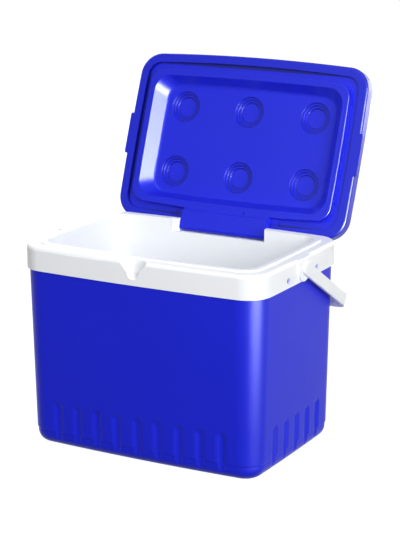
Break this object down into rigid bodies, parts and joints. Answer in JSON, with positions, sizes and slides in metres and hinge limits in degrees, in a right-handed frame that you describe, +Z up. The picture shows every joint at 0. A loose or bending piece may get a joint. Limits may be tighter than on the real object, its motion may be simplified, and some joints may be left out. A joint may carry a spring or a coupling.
{
  "type": "vaccine carrier",
  "caption": "Small insulated vaccine carrier with a fluted outer shell, a white tub and collar, a hinged lid with round cups in its recess, and a bail handle.",
  "frame": {"origin": "Middle of the flat underside, on the floor", "axes": "+X to the right-hand short side, +Y to the hinged rear wall, +Z up; the front with the finger scoop faces -Y"},
  "size_m": [0.3466, 0.3262, 0.454],
  "materials": {
    "blue_shell": "gloss",
    "blue_lid": "satin",
    "white_liner": "satin",
    "foam": "matte",
    "steel": "satin"
  },
  "bodies": {
    "box": {"outer_shell": "blue_shell", "body_insulation": "foam", "inner_liner": "white_liner", "hinge_pin": "steel"},
    "lid": {"lid_cover": "blue_lid", "lid_insulation": "foam", "lid_inner_panel": "blue_lid"},
    "handle": {"carry_handle": "white_liner"}
  },
  "joints": [
    {"name": "lid_hinge", "type": "hinge", "parent": "box", "child": "lid", "pos_m": [0, 0.10975, 0.24815], "axis": [1, 0, 0], "range_deg": [0, 110.8]},
    {"name": "handle_pivot", "type": "hinge", "parent": "box", "child": "handle", "pos_m": [0, 0, 0.2395], "axis": [1, 0, 0], "range_deg": [0, 26]}
  ]
}
